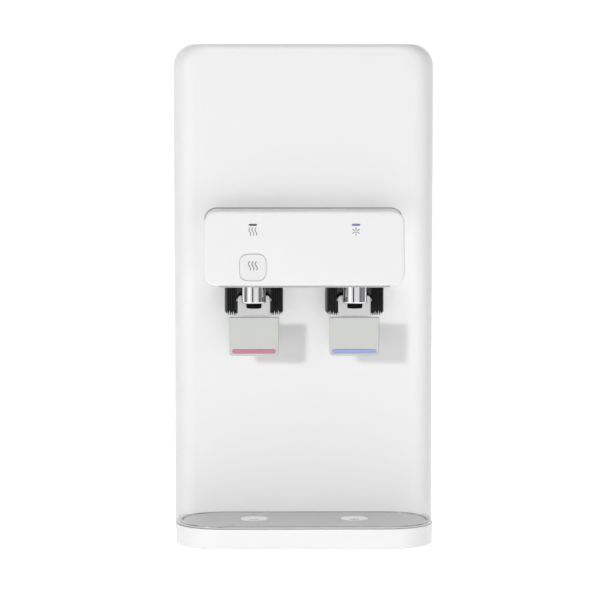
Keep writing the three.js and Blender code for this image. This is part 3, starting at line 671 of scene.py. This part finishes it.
def head_shade_seal():
    """The seal piece between the head and the panel, a little taller than the head's edge; its dark grey is
    painted shade, standing for the shadow line along the joint.
    """
    x, z0, z1 = HEAD_HIGH.x, HEAD_LOW.z, HEAD_HIGH.z
    loops = []
    back, front = FRONT_Y - 0.02, FRONT_Y - 0.26
    for inset, y in ((-0.75, back), (-0.75, front), (3, front), (3, back)):
        outline = rounded(-x + inset, x - inset, z0 + inset, z1 - inset, [HEAD_CORNER_R - inset] * 4, 12)
        loops.append([(px, y, pz) for px, pz in outline])
    seal = loft("head_shade_seal", loops, True, False, False, True)
    place(finish_edges(seal, 0), "head_cover", False, SEAL_SHADE_GREY, "foot_rubber")


def head_underplate():
    outline = rounded(UNDER_LOW.x, UNDER_HIGH.x, UNDER_LOW.y, UNDER_HIGH.y, [9, 9, 1, 1], 8)
    plate = prism("head_underplate_fine", outline, UNDER_LOW.z, UNDER_HIGH.z)
    run = (UNDER_LOW.z - 2, UNDER_HIGH.z + 2)
    holes = [rod("hole", "z", 12.5, *run, (x, NOZZLE_Y), 48) for x in TAP_XS.values()]
    boolean(plate, "DIFFERENCE", *holes)
    place(finish_edges(plate, 0.35, 2), "head_underplate")


def lock_button():
    loops = []
    fillet = 0.7
    outer = 0.4
    loops.append([on_face(BUTTON_Z, u, v, -4) for u, v in squircle(BUTTON_X, BUTTON_HALF)])
    for i in range(6):
        a = math.radians(90 * i / 5)
        half = BUTTON_HALF - fillet * (1 - math.cos(a))
        n = outer - fillet * (1 - math.sin(a))
        loops.append([on_face(BUTTON_Z, u, v, n) for u, v in squircle(BUTTON_X, half)])
    for share in (0.85, 0.6, 0.3):
        n = outer - 0.25 * (1 - share ** 2)
        loops.append([on_face(BUTTON_Z, u, v, n) for u, v in squircle(BUTTON_X, BUTTON_HALF * share)])
    button = loft("hot_lock_button_fine", loops)
    place(finish_edges(button, 0), "hot_lock_button")


def indicator_windows():
    for node, x in WINDOWS.items():
        bar = face_prism(node + "_fine", bar_outline(x, 3.95, 0.85), WINDOW_Z, -6, 0.05)
        place(finish_edges(bar, 0.1, 2), node)


def ribbon(points, width):
    """The outline of a flat line of a width along points, with a rounded look at its ends."""
    left, right = [], []
    for i, (u, v) in enumerate(points):
        before, after = points[max(i - 1, 0)], points[min(i + 1, len(points) - 1)]
        du, dv = after[0] - before[0], after[1] - before[1]
        length = math.hypot(du, dv)
        half = width / 2 * (0.55 if i in (0, len(points) - 1) else 1)
        left.append((u - dv / length * half, v + du / length * half))
        right.append((u + dv / length * half, v - du / length * half))
    return left + right[::-1]


def marking(name, outlines, z0, n, body_node):
    """Printed marks: thin closed solids lying on the face, joined into one piece."""
    verts, faces = [], []
    for outline in outlines:
        start, count = len(verts), len(outline)
        for height in (n + 0.02, n + 0.08):
            verts += [on_face(z0, u, v, height) for u, v in outline]
        for j in range(count):
            k = (j + 1) % count
            faces.append((start + j, start + k, start + count + k, start + count + j))
        faces.append(tuple(start + j for j in range(count)))
        faces.append(tuple(start + count + j for j in range(count)))
    piece = new_object(name, verts, faces)
    piece.data.shade_flat()
    place(piece, body_node, False, INK, "tap_black")


def steam_outlines(x, v, width, height, line):
    """Three upright S curves."""
    outlines = []
    for k in (-1, 0, 1):
        points = []
        for i in range(17):
            t = i / 16
            swing = 0.11 * width * math.sin(2 * math.pi * (t + 0.05))
            points.append((x + k * width * 0.36 + swing, v + height * (t - 0.5)))
        outlines.append(ribbon(points, line))
    return outlines


def star_outlines(x, v, radius, line):
    """A snow crystal: six arms with a gap between each and the middle."""
    outlines = []
    for k in range(6):
        a = math.radians(90 + 60 * k)
        c, s = math.cos(a), math.sin(a)
        reach = [radius * share for share in (0.2, 0.3, 0.9, 1.0)]
        outlines.append(ribbon([(x + r * c, v + r * s) for r in reach], line))
    return outlines


def markings():
    hot_x, cold_x = WINDOWS["hot_indicator_window"], WINDOWS["cold_indicator_window"]
    marking("hot_steam_mark", steam_outlines(hot_x, 0, 8.2, 8.0, 0.8), MARK_Z, 0.0, "head_cover")
    marking("cold_crystal_mark", star_outlines(cold_x, 0, 4.2, 0.75), MARK_Z, 0.0, "head_cover")
    on_button = steam_outlines(BUTTON_X, 1.6, 9.2, 9.0, 0.9)
    marking("button_steam_mark", on_button, BUTTON_Z, 0.2, "hot_lock_button")


# ---- Taps ---------------------------------------------------------------------------------------
RIBS = 5
RIB_DEPTH = 0.8


def tap_housing(name, x):
    """A black U in plan; each cheek is fluted in front, and its flutes end in teeth of uneven length."""
    node = f"{name}_tap_housing"
    low, high = box_mm(node)
    w, slot = (high.x - low.x) / 2, 17.4
    front, back, slot_back = low.y, high.y, high.y - 6
    pitch = (w - 2.2 - slot - 0.4) / RIBS

    def cheek(sign):
        """From the outer back corner round the front to the slot's edge."""
        points = [(w, back), (w, front + 2.2), (w - 0.65, front + 0.65), (w - 2.2, front)]
        for k in range(RIBS):
            start = w - 2.2 - k * pitch
            for i in range(1, 7):
                points.append((start - pitch * i / 6, front + RIB_DEPTH * math.sin(math.pi * i / 6)))
        points += [(slot, front + 0.5), (slot, slot_back)]
        return [(sign * px, py) for px, py in points]

    plan = cheek(-1) + cheek(1)[::-1]
    housing = prism(node + "_fine", [(x + px, py) for px, py in plan], low.z, high.z)
    cuts = []
    for sign in (-1, 1):
        corner = [(w - 4.5, low.z - 1), (w + 2, low.z - 1), (w + 2, low.z + 6), (w + 0.02, low.z + 4)]
        cuts.append(front_prism("corner", [(x + sign * px, pz) for px, pz in corner], front - 3, back + 3))
        for k in range(RIBS):
            middle = w - 2.2 - (k + 0.5) * pitch
            height = 2.6 + 2.6 * ((k * 7 + 2) % 5) / 4
            half = 0.42 * pitch
            notch = [(middle - half, low.z - 0.5), (middle + half, low.z - 0.5), (middle, low.z + height)]
            cuts.append(front_prism("notch", [(x + sign * px, pz) for px, pz in notch], front - 2, back + 3))
    cuts.append(rod("stem_hole", "y", 3.0, slot_back - 2, back + 2, (x, STEM_Z)))
    boolean(housing, "DIFFERENCE", *cuts)
    place(finish_edges(housing, 0.2, 2, 40), node)


def nozzle(name, x):
    node = f"{name}_nozzle"
    low, high = box_mm(node)
    r, y = (high.x - low.x) / 2, (low.y + high.y) / 2
    profile = [(5, low.z + 1)]
    profile += [(7.9, low.z + 1), (8.3, low.z)]
    profile += arc(r - 1.5, low.z + 1.5, 1.5, -90, 0, 8)
    profile += [(r, high.z - 0.6), (r - 0.6, high.z), (5, high.z)]
    piece = turned(node + "_fine", profile, x, y, 96, True)
    place(finish_edges(piece, 0), node)


def nozzle_tip(name, x):
    node = f"{name}_nozzle_tip"
    low, high = box_mm(node)
    r, y = (high.x - low.x) / 2, (low.y + high.y) / 2
    neck = high.z - 6.3
    profile = [(3, low.z + 0.6), (3.6, low.z)]
    profile += arc(r - 1.2, low.z + 1.2, 1.2, -90, 0, 5)
    profile += [(r, neck), (4.7, neck), (4.7, high.z), (3, high.z)]
    piece = turned(node + "_fine", profile, x, y, 64, True)
    place(finish_edges(piece, 0), node, True, TIP_BLACK)


def filleted_plate(name, outline_at, y_back, y_front, fillet, steps=6):
    """A plate whose front edge is rounded; outline_at(inset) gives its front-view outline drawn in."""
    loops = [[(px, y_back, pz) for px, pz in outline_at(0.35)],
             [(px, y_back - 0.35, pz) for px, pz in outline_at(0)]]
    for i in range(steps + 1):
        a = math.radians(90 * i / steps)
        inset, y = fillet * (1 - math.cos(a)), y_front + fillet * (1 - math.sin(a))
        loops.append([(px, y, pz) for px, pz in outline_at(inset)])
    return loft(name, loops)


def lever_bracket(name, x):
    """The upright plate behind the nozzle, with raised edges and a barrel at each end of the pin."""
    node = f"{name}_lever_bracket"
    low, high = box_mm(node)
    paddle_top = box_mm(f"{name}_lever_paddle")[1].z
    w, top, bottom = (high.x - low.x) / 2, high.z, paddle_top + 0.3
    front, back = low.y, low.y + 3

    def outline(inset):
        return rounded(x - w + inset, x + w - inset, bottom + inset * 0.3, top - inset,
                       [0.3, 0.3, 3.6 - inset, 3.6 - inset], 8)

    plate = filleted_plate(node + "_fine", outline, back, front, 1.1)
    pocket = rounded(x - w + 2.6, x + w - 2.6, bottom + 1.0, top - 2.2, [1, 1, 2.6, 2.6], 8)
    boolean(plate, "DIFFERENCE", front_prism("pocket", pocket, front - 1, front + 0.7))
    joins = [block("tongue", x - 12, x + 12, back - 1, back + 1.6, low.z, bottom + 3)]
    for x0, x1 in ((x - 15.5, x - 6), (x + 6, x + 15.5)):
        joins.append(rod("barrel", "x", 3, x0, x1, (PIVOT_Y, PIVOT_Z), 32))
        joins.append(block("web", x0 + 0.2, x1 - 0.2, back - 1, PIVOT_Y, PIVOT_Z - 2.6, PIVOT_Z + 2.6))
    boolean(plate, "UNION", *joins)
    boolean(plate, "DIFFERENCE", rod("bore", "x", 1.8, x - 20, x + 20, (PIVOT_Y, PIVOT_Z), 24))
    place(finish_edges(plate, 0.25, 2, 40), node)


def lever_paddle(name, x):
    node = f"{name}_lever_paddle"
    low, high = box_mm(node)
    w, taper = (high.x - low.x) / 2, 0.7

    def outline(inset):
        shape = rounded(-w + inset, w - inset, low.z + inset, high.z - inset * 0.5,
                        [3.2 - inset, 3.2 - inset, 1.8, 1.8], 8)
        height = high.z - low.z
        return [(x + px * (1 - taper / w * (high.z - pz) / height), pz) for px, pz in shape]

    paddle = filleted_plate(node + "_fine", outline, high.y, low.y, 2.0)
    strip_low, strip_high = box_mm(f"{name}_lever_strip")
    r = (strip_high.z - strip_low.z) / 2 + 0.25
    groove = rounded(strip_low.x - 0.25, strip_high.x + 0.25,
                     strip_low.z - 0.25, strip_high.z + 0.25, [r] * 4, 8)
    boolean(paddle, "DIFFERENCE", front_prism("groove", groove, low.y - 1, low.y + 1.1))
    place(finish_edges(paddle, 0.2, 2, 40), node)


def lever_strip(name):
    node = f"{name}_lever_strip"
    low, high = box_mm(node)
    r = (high.z - low.z) / 2 - 0.01

    def outline(inset):
        return rounded(low.x + inset, high.x - inset, low.z + inset, high.z - inset, [r - inset] * 4, 8)

    strip = filleted_plate(node + "_fine", outline, high.y, low.y, 0.4, 4)
    place(finish_edges(strip, 0), node)


# ---- Drip tray ----------------------------------------------------------------------------------
def tray_outline(inset, radii, steps=14):
    x0, x1 = TRAY_LOW.x + inset, TRAY_HIGH.x - inset
    return rounded(x0, x1, TRAY_LOW.y + inset, FRONT_Y - 0.4 - inset, radii, steps)


def drip_tray():
    z0, z1 = TRAY_LOW.z, TRAY_HIGH.z
    loops = []
    bottom_r, top_r = 2.0, 0.7
    for i in range(7):
        a = math.radians(90 * i / 6)
        inset, z = bottom_r * (1 - math.sin(a)), z0 + bottom_r * (1 - math.cos(a))
        radii = [TRAY_FRONT_R - inset] * 2 + [TRAY_BACK_R - inset] * 2
        loops.append([(x, y, z) for x, y in tray_outline(inset, radii)])
    for i in range(5):
        a = math.radians(90 * i / 4)
        inset, z = top_r * (1 - math.cos(a)), z1 - top_r * (1 - math.sin(a))
        radii = [TRAY_FRONT_R - inset] * 2 + [TRAY_BACK_R - inset] * 2
        loops.append([(x, y, z) for x, y in tray_outline(inset, radii)])
    inner = [TRAY_FRONT_R - TRAY_WALL] * 4
    for inset, z in ((TRAY_WALL - 0.5, z1), (TRAY_WALL, z1 - 0.5), (TRAY_WALL, z0 + 5),
                     (TRAY_WALL + 0.6, z0 + 3.6), (TRAY_WALL + 2, z0 + 3)):
        radii = [r - (inset - TRAY_WALL) for r in inner]
        loops.append([(x, y, z) for x, y in tray_outline(inset, radii)])
    tray = loft("drip_tray_fine", loops)
    tongues = []
    for side in (-1, 1):
        x0, x1 = sorted((side * 58, side * 82))
        tongues.append(block("tongue", x0, x1, FRONT_Y - 4, TRAY_HIGH.y, 8, 12))
    boolean(tray, "UNION", *tongues)
    place(finish_edges(tray, 0.3, 2, 50), "drip_tray")


def rim_outline(inset, steps=16):
    r = RIM_R - inset
    return rounded(RIM_LOW.x + inset, RIM_HIGH.x - inset,
                   RIM_LOW.y + inset, RIM_HIGH.y - inset, [r] * 4, steps)


def tray_rim():
    z0, z1 = RIM_LOW.z, RIM_HIGH.z
    ledge = PLATE_HIGH.z - 1.8
    section = [(0.2, z0), (0, z0 + 0.2)]
    edge_r = 1.2
    for degrees in range(0, 91, 15):
        a = math.radians(degrees)
        section.append((edge_r * (1 - math.cos(a)), z1 - edge_r * (1 - math.sin(a))))
    section += [(RIM_WIDTH - 0.6, z1), (RIM_WIDTH - 0.18, z1 - 0.18), (RIM_WIDTH, z1 - 0.6)]
    section += [(RIM_WIDTH, ledge), (RIM_LIP, ledge), (RIM_LIP, z0)]
    loops = [[(x, y, z) for x, y in rim_outline(inset)] for inset, z in section]
    rim = loft("tray_rim_fine", loops, True, False, False, True)
    place(finish_edges(rim, 0), "tray_rim")


def drip_plate():
    z1 = PLATE_HIGH.z
    z0 = z1 - 1.5
    loops = [[(x, y, z) for x, y in rim_outline(RIM_WIDTH + inset)] for inset, z in
             ((0.7, z0), (0.4, z0 + 0.3), (0.4, z1 - 0.45), (0.5, z1 - 0.15), (0.85, z1))]
    plate = loft("drip_plate_fine", loops)
    run = (z0 - 2, z1 + 2)
    holes = [rod("dish_hole", "z", DISH_R, *run, (x, NOZZLE_Y), 64) for x in TAP_XS.values()]
    boolean(plate, "DIFFERENCE", *holes)
    place(finish_edges(plate, 0.25, 2, 40), "drip_plate")
    for name, x in TAP_XS.items():
        outer = [(DISH_R - 0.15, z1 - 1.0), (DISH_R - 0.15, z1 - 0.1)]
        lip = [(DISH_R - 0.8 + 0.65 * math.cos(a), z1 - 0.1 + 0.25 * math.sin(a))
               for a in [math.pi * i / 8 for i in range(1, 9)]]
        bowl = [(DISH_R - 1.46 - 7.4 * t, z1 - 0.1 - 0.8 * math.sin(math.pi / 2 * t))
                for t in [i / 10 for i in range(1, 11)]]
        drain = [(4.9, z1 - 0.95), (4.6, z1 - 1.2), (4.4, z1 - 4.4), (5.0, z1 - 4.4), (5.1, z1 - 2.9)]
        cup = turned(f"{name}_drain_cup", outer + lip + bowl + drain, x, NOZZLE_Y, 64, True)
        place(finish_edges(cup, 0), "drip_plate", False, CUP_PLATING, "rim")


# ---- Build --------------------------------------------------------------------------------------
front_panel()
side_covers()
top_cover()
rear_cover()
feet()
head_cover()
head_shade_seal()
head_underplate()
lock_button()
indicator_windows()
markings()
for tap_name, tap_x in TAP_XS.items():
    tap_housing(tap_name, tap_x)
    nozzle(tap_name, tap_x)
    nozzle_tip(tap_name, tap_x)
    lever_bracket(tap_name, tap_x)
    lever_paddle(tap_name, tap_x)
    lever_strip(tap_name)
drip_tray()
tray_rim()
drip_plate()
for fitting in ("power_inlet", "hot_power_switch", "cold_power_switch", "water_inlet", "drain_plug"):
    refined(fitting)


# ---- Floor, light and camera --------------------------------------------------------------------
# Light powers in watts. They began as a least squares fit and were then changed.
# base scales the world and the rear lights, and floor is the glow that lights the object from below.
LEVELS = {"base": 1.0, "floor": 0.11, "key": 20.0, "top": 3.0, "right": 0.8, "front": 3.8,
          "belly_left": 0.6, "belly_right": 1.15, "side": 1.6, "edge_right": 3.2}
# How bright the world and the floor are as light, in reflections and to the camera.
WORLD_DIFFUSE, WORLD_GLOSSY, WORLD_SEEN = 0.2, 0.85, 1.05
FLOOR_SEEN, FLOOR_GLOSSY = 0.95, 0.55
FLOOR_HALF, FLOOR_Z = 9000, -0.2
REAR_POWER = 22.0
ROOF_POWER = 13.0
REFLECTION_R = 1.6  # how far the reflected cards stand from the nozzles
REFLECTIONS = [  # name, degrees round from the front, width, brightness
    ("black_strip", -12, 0.32, 0.0),
    ("bright_left", -44, 0.26, 2.2),
    ("grey_left", -86, 1.0, 0.22),
    ("grey_right", 62, 1.1, 0.22),
    ("grey_right_back", 96, 0.7, 0.15),
]
LENS, SENSOR = 181.3, 36
CAMERA_X, CAMERA_AWAY, CAMERA_Z = -0.0406, 3.017, 0.4825  # metres; away is from the panel's front
CAMERA_PITCH, CAMERA_TURN = 4.66, -0.7  # degrees below level, and round


def floor():
    corners = [(u * FLOOR_HALF, v * FLOOR_HALF, FLOOR_Z) for u, v in ((-1, -1), (1, -1), (1, 1), (-1, 1))]
    plane = new_object("studio_floor", corners, [(0, 1, 2, 3)])
    mat, tree, shader = node_material("floor_paper")
    tone = blend_colours(tree, remap(tree, noise(tree, 3, 4), 0, 1), (0.9, 0.9, 0.9), (0.92, 0.92, 0.92))
    tree.links.new(tone, shader.inputs["Base Color"])
    shader.inputs["Roughness"].default_value = 0.9
    shader.inputs["Specular IOR Level"].default_value = 0.1
    shader.inputs["Emission Color"].default_value = (1, 1, 1, 1)
    path = tree.nodes.new("ShaderNodeLightPath")
    strength = None
    for ray, value in (("Is Glossy Ray", FLOOR_GLOSSY), ("Is Camera Ray", FLOOR_SEEN)):
        glow = tree.nodes.new("ShaderNodeMapRange")
        glow.inputs["To Min"].default_value = LEVELS["floor"]
        glow.inputs["To Max"].default_value = value
        if strength is not None:
            tree.links.new(strength, glow.inputs["To Min"])
        tree.links.new(path.outputs[ray], glow.inputs["Value"])
        strength = glow.outputs["Result"]
    tree.links.new(strength, shader.inputs["Emission Strength"])
    plane.data.materials.append(mat)


def aim(obj, target):
    direction = Vector(target) - obj.location
    obj.rotation_euler = direction.to_track_quat("-Z", "Y").to_euler()


def area_light(name, location, target, size, power):
    data = bpy.data.lights.new(name, "AREA")
    data.shape = "RECTANGLE"
    data.size, data.size_y = size
    data.energy = power
    light = bpy.data.objects.new(name, data)
    light.location = location
    light.visible_camera = False
    light.visible_glossy = False
    bpy.context.scene.collection.objects.link(light)
    aim(light, target)
    return light


def reflector(name, location, target, size, level):
    """A card that only reflections see."""
    w, h = size
    card = bpy.data.objects.new(name, bpy.data.meshes.new(name))
    corners = [(-w / 2, -h / 2, 0), (w / 2, -h / 2, 0), (w / 2, h / 2, 0), (-w / 2, h / 2, 0)]
    card.data.from_pydata(corners, [], [(0, 1, 2, 3)])
    bpy.context.scene.collection.objects.link(card)
    card.location = location
    aim(card, target)
    mat = bpy.data.materials.new(name)
    mat.use_nodes = True
    mat.node_tree.nodes.clear()
    out = mat.node_tree.nodes.new("ShaderNodeOutputMaterial")
    glow = mat.node_tree.nodes.new("ShaderNodeEmission")
    glow.inputs["Color"].default_value = (level, level, level, 1)
    mat.node_tree.links.new(glow.outputs[0], out.inputs[0])
    card.data.materials.append(mat)
    card.visible_camera = False
    card.visible_diffuse = False
    card.visible_shadow = False
    card.visible_transmission = False


def blocked_by(light, names):
    """Only the named pieces cast this light's shadows."""
    blockers = bpy.data.collections.new(light.name + "_blockers")
    for name in names:
        blockers.objects.link(bpy.data.objects[name])
    light.light_linking.blocker_collection = blockers


def studio_world():
    world = bpy.data.worlds.new("studio")
    bpy.context.scene.world = world
    world.use_nodes = True
    tree = world.node_tree
    background = tree.nodes.get("Background")
    if background is None:
        tree.nodes.clear()
        out = tree.nodes.new("ShaderNodeOutputWorld")
        background = tree.nodes.new("ShaderNodeBackground")
        tree.links.new(background.outputs[0], out.inputs[0])
    background.inputs["Color"].default_value = (1, 1, 1, 1)
    path = tree.nodes.new("ShaderNodeLightPath")
    strength = None
    for ray, value in (("Is Diffuse Ray", WORLD_DIFFUSE * LEVELS["base"]), ("Is Camera Ray", WORLD_SEEN)):
        level = tree.nodes.new("ShaderNodeMapRange")
        level.inputs["To Min"].default_value = WORLD_GLOSSY * LEVELS["base"]
        level.inputs["To Max"].default_value = value
        if strength is not None:
            tree.links.new(strength, level.inputs["To Min"])
        tree.links.new(path.outputs[ray], level.inputs["Value"])
        strength = level.outputs["Result"]
    tree.links.new(strength, background.inputs["Strength"])


def lights():
    key = area_light("key", (-1.40, -1.82, 0.73), (0, -0.15, 0.22), (0.24, 0.24), LEVELS["key"])
    area_light("top_soft", (0.2, -0.6, 2.6), (0, 0, 0.2), (2.4, 2.0), LEVELS["top"])
    area_light("roof", (0, 0.9, 2.3), (0, 0.05, 0.49), (1.6, 1.6), ROOF_POWER)
    area_light("right_soft", (0.8, -1.0, 0.62), (0.08, -0.14, 0.4), (0.5, 0.7), LEVELS["right"])
    area_light("front_soft", (0.6, -2.6, 0.15), (0, -0.13, 0.2), (1.2, 0.7), LEVELS["front"])
    area_light("right_side", (1.7, -1.1, 0.25), (0.12, -0.15, 0.12), (0.6, 0.6), LEVELS["side"])
    levers = [f"{tap_name}_{part}_fine" for tap_name in TAP_XS for part in ("lever_paddle", "lever_strip")]
    blocked_by(key, levers)
    area_light("edge_right", (1.5, -0.28, 0.3), (0.12, -0.12, 0.25), (0.3, 1.0), LEVELS["edge_right"])
    rear_power = REAR_POWER * LEVELS["base"]
    for side, name in ((-1, "left"), (1, "right")):
        area_light(f"rear_{name}", (side * 1.8, 2.2, 1.3), (side * 0.1, 0.2, 0.25), (1.6, 1.6), rear_power)
        belly_at, belly_aim = (side * 0.42, -0.95, 0.12), (side * 0.04, -0.14, 0.13)
        belly = area_light(f"belly_{name}", belly_at, belly_aim, (0.5, 0.16), LEVELS[f"belly_{name}"])
        blocked_by(belly, ["drip_tray_fine", "tray_rim_fine", "drip_plate_fine"])


def reflections():
    middle = (0, NOZZLE_Y * MM, 0.25)
    for card_name, angle, width, level in REFLECTIONS:
        turn = math.radians(angle)
        spot = (REFLECTION_R * math.sin(turn), NOZZLE_Y * MM - REFLECTION_R * math.cos(turn), 0.3)
        reflector(card_name, spot, middle, (width, 1.6), level)


def camera():
    data = bpy.data.cameras.new("camera")
    data.sensor_width = SENSOR
    data.lens = LENS
    obj = bpy.data.objects.new("camera", data)
    obj.location = (CAMERA_X, FRONT_Y * MM - CAMERA_AWAY, CAMERA_Z)
    obj.rotation_euler = (math.radians(90 - CAMERA_PITCH), 0, math.radians(CAMERA_TURN))
    data.clip_end = 60
    bpy.context.scene.collection.objects.link(obj)
    bpy.context.scene.camera = obj


floor()
studio_world()
lights()
reflections()
camera()
bpy.context.scene.view_settings.view_transform = "Standard"
